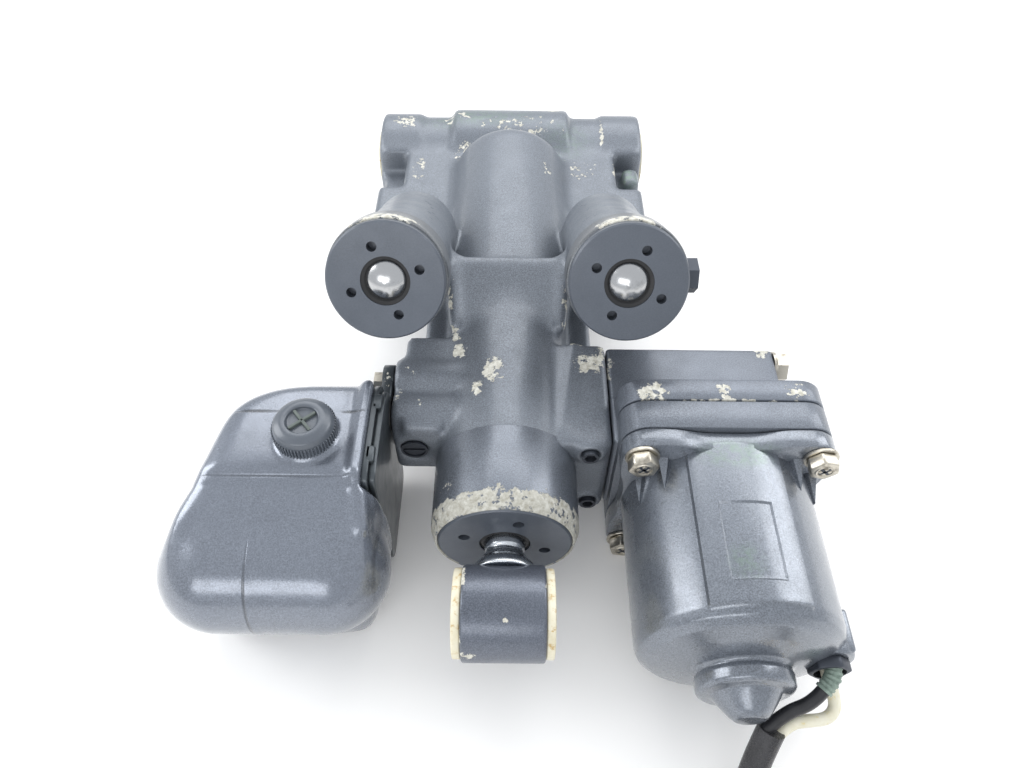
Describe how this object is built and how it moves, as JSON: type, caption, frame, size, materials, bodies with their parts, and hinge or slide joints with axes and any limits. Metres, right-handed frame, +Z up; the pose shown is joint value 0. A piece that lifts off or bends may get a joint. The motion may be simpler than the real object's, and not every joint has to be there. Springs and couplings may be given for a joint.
{
  "type": "hydraulic tilt and trim unit",
  "caption": "Hydraulic power trim and tilt unit of an outboard boat engine: a tilt ram between trim rams, with a gear pump, electric motor and oil reservoir.",
  "frame": {"origin": "middle of the unit's bounding box without its lead, at the surface it lies on", "axes": "+X across the unit from the reservoir to the motor, along the lower pivot; +Y from the rod eye to the lower pivot; +Z up, out of the side that carries the trim rods"},
  "size_m": [0.3335, 0.6035, 0.1539],
  "materials": {
    "bearing_bronze": "sintered bronze",
    "black_plastic": "smooth sheath",
    "black_rubber": "matt",
    "brass": "machined brass",
    "brown_board": "laminate board",
    "carbon": "carbon",
    "copper_wire": "enamelled copper",
    "cream_plastic": "acetal, stained by use",
    "cream_sheath": "wire insulation",
    "dark_steel": "dark coated steel",
    "grey_paint": "satin metallic paint, blue-grey, chipped",
    "grey_plastic": "moulded, dull",
    "hard_chrome": "hard chrome, ground",
    "magnet": "ferrite, ground",
    "turned_steel": "bare turned steel",
    "zinc_steel": "plated, dulled"
  },
  "bodies": {
    "frame": {"adapter_o_ring": "black_rubber", "adapter_plate": "grey_paint", "brush_plate": "brown_board", "brush_springs": "turned_steel", "brushes": "carbon", "cap_o_rings": "black_rubber", "gallery_plugs": "dark_steel", "gear_case": "turned_steel", "gear_case_cover": "turned_steel", "gland_grommet": "black_rubber", "gland_nut": "dark_steel", "housing_bolts": "zinc_steel", "lead_sleeve": "black_plastic", "lead_tails": "black_plastic", "main_casting": "grey_paint", "motor_bearings": "bearing_bronze", "motor_bolts": "zinc_steel", "motor_frame": "grey_paint", "motor_magnets": "magnet", "oil_seal": "black_rubber", "pivot_bushes": "cream_plastic", "pump_housing": "grey_paint", "relief_valves": "turned_steel", "reservoir_bolts": "zinc_steel", "reservoir_cover": "grey_paint", "reservoir_seal": "black_rubber", "reservoir_shell": "grey_paint", "ring_terminals": "brass", "rod_seals": "black_rubber", "suction_filter": "brass", "tilt_cap": "dark_steel", "trim_barrel_plug": "dark_steel", "trim_cap_left": "dark_steel", "trim_cap_right": "dark_steel", "valve_circlip": "dark_steel", "wire_black": "black_plastic", "wire_boot": "grey_plastic", "wire_cream": "cream_sheath"},
    "tilt_ram": {"tilt_rod": "hard_chrome", "eye_bushes": "cream_plastic", "tilt_piston": "turned_steel", "tilt_piston_ring": "cream_plastic", "tilt_piston_nut": "turned_steel"},
    "free_piston": {"free_piston": "turned_steel", "free_piston_o_ring": "black_rubber"},
    "trim_ram_left": {"trim_rod_left": "hard_chrome", "trim_piston_left": "turned_steel"},
    "trim_ram_right": {"trim_rod_right": "hard_chrome", "trim_piston_right": "turned_steel"},
    "rotor": {"armature_shaft": "turned_steel", "armature_core": "magnet", "armature_windings": "copper_wire", "commutator": "copper_wire", "drive_coupling": "turned_steel", "drive_gear": "turned_steel"},
    "driven_gear": {"driven_gear": "turned_steel"},
    "cap_carrier": {"filler_cap_seal": "black_rubber"},
    "filler_cap": {"filler_cap": "grey_plastic"},
    "manual_valve": {"manual_valve": "dark_steel"},
    "shuttle": {"shuttle_piston": "turned_steel"}
  },
  "joints": [
    {"name": "tilt_rod_slide", "type": "slide", "parent": "frame", "child": "tilt_ram", "axis": [0, -1, 0], "range_m": [0, 0.19]},
    {"name": "free_piston_slide", "type": "slide", "parent": "frame", "child": "free_piston", "axis": [0, -1, 0], "range_m": [0, 0.19]},
    {"name": "trim_rod_left_slide", "type": "slide", "parent": "frame", "child": "trim_ram_left", "axis": [0, -0.866, 0.5], "range_m": [0, 0.062]},
    {"name": "trim_rod_right_slide", "type": "slide", "parent": "frame", "child": "trim_ram_right", "axis": [0, -0.866, 0.5], "range_m": [0, 0.062]},
    {"name": "rotor_spin", "type": "hinge", "parent": "frame", "child": "rotor", "pos_m": [0.09865, -0.132, 0.045], "axis": [0, 1, 0], "continuous": true},
    {"name": "driven_gear_spin", "type": "hinge", "parent": "frame", "child": "driven_gear", "pos_m": [0.07459, -0.062, 0.045], "axis": [0, 1, 0], "continuous": true},
    {"name": "cap_lift", "type": "slide", "parent": "frame", "child": "cap_carrier", "axis": [0, 0, 1], "range_m": [0, 0.01]},
    {"name": "cap_turn", "type": "hinge", "parent": "cap_carrier", "child": "filler_cap", "pos_m": [-0.08565, -0.101, 0.09], "axis": [0, 0, 1], "range_deg": [0, 1441]},
    {"name": "manual_valve_turn", "type": "hinge", "parent": "frame", "child": "manual_valve", "pos_m": [-0.04365, -0.082, 0.055], "axis": [0, 1, 0], "range_deg": [0, 1080]},
    {"name": "shuttle_slide", "type": "slide", "parent": "frame", "child": "shuttle", "axis": [1, 0, 0], "range_m": [-0.003, 0.003]}
  ],
  "couplings": [
    {"joint": "free_piston_slide", "follows": "tilt_rod_slide", "ratio": 1},
    {"joint": "trim_rod_right_slide", "follows": "trim_rod_left_slide", "ratio": 1},
    {"joint": "driven_gear_spin", "follows": "rotor_spin", "ratio": -1},
    {"joint": "cap_turn", "follows": "cap_lift", "rad_per_m": 2513.3}
  ]
}
